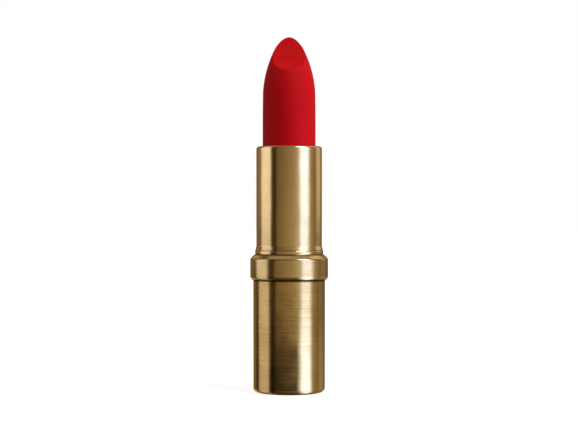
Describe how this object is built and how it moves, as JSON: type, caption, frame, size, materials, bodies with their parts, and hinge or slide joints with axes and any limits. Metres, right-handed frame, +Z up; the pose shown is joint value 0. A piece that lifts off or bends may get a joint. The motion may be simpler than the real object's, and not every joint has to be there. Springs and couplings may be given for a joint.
{
  "type": "lipstick case",
  "caption": "Opened twist-up lipstick: brushed metal base with a wide collar, a satin tube that turns in it, and a slanted red bullet raised by a hidden spiral mechanism.",
  "frame": {"origin": "middle of the foot, on the surface that the case stands on", "axes": "+Z up along the case's axis, -Y the side that the bullet's slanted facet faces, +X to the right seen from there"},
  "size_m": [0.0186, 0.0186, 0.0854],
  "materials": {
    "satin_brass": "satin",
    "brushed_brass": "satin",
    "plain_brass": "satin",
    "steel": "satin",
    "white_plastic": "satin",
    "nylon": "satin",
    "silicone": "matte",
    "foam": "matte",
    "label_paper": "matte",
    "lipstick_red": "matte"
  },
  "bodies": {
    "base": {"base_shell": "brushed_brass", "shade_label": "label_paper", "base_weight": "steel", "weight_cushion": "foam", "base_holder": "white_plastic", "brake_ring": "silicone", "guide_sleeve": "plain_brass", "collar": "satin_brass", "collar_bush": "nylon"},
    "tube": {"outer_tube": "satin_brass", "spiral_sleeve": "plain_brass", "lock_ring": "plain_brass"},
    "carriage": {"cup": "plain_brass", "cup_pin_right": "plain_brass", "cup_pin_left": "plain_brass", "bullet": "lipstick_red"}
  },
  "joints": [
    {"name": "twist", "type": "hinge", "parent": "base", "child": "tube", "pos_m": [0, 0, 0.033], "axis": [0, 0, 1], "range_deg": [0, 540]},
    {"name": "lift", "type": "slide", "parent": "base", "child": "carriage", "axis": [0, 0, 1], "range_m": [-0.0273, 0]}
  ],
  "couplings": [
    {"joint": "lift", "follows": "twist", "m_per_rad": -0.002896}
  ]
}
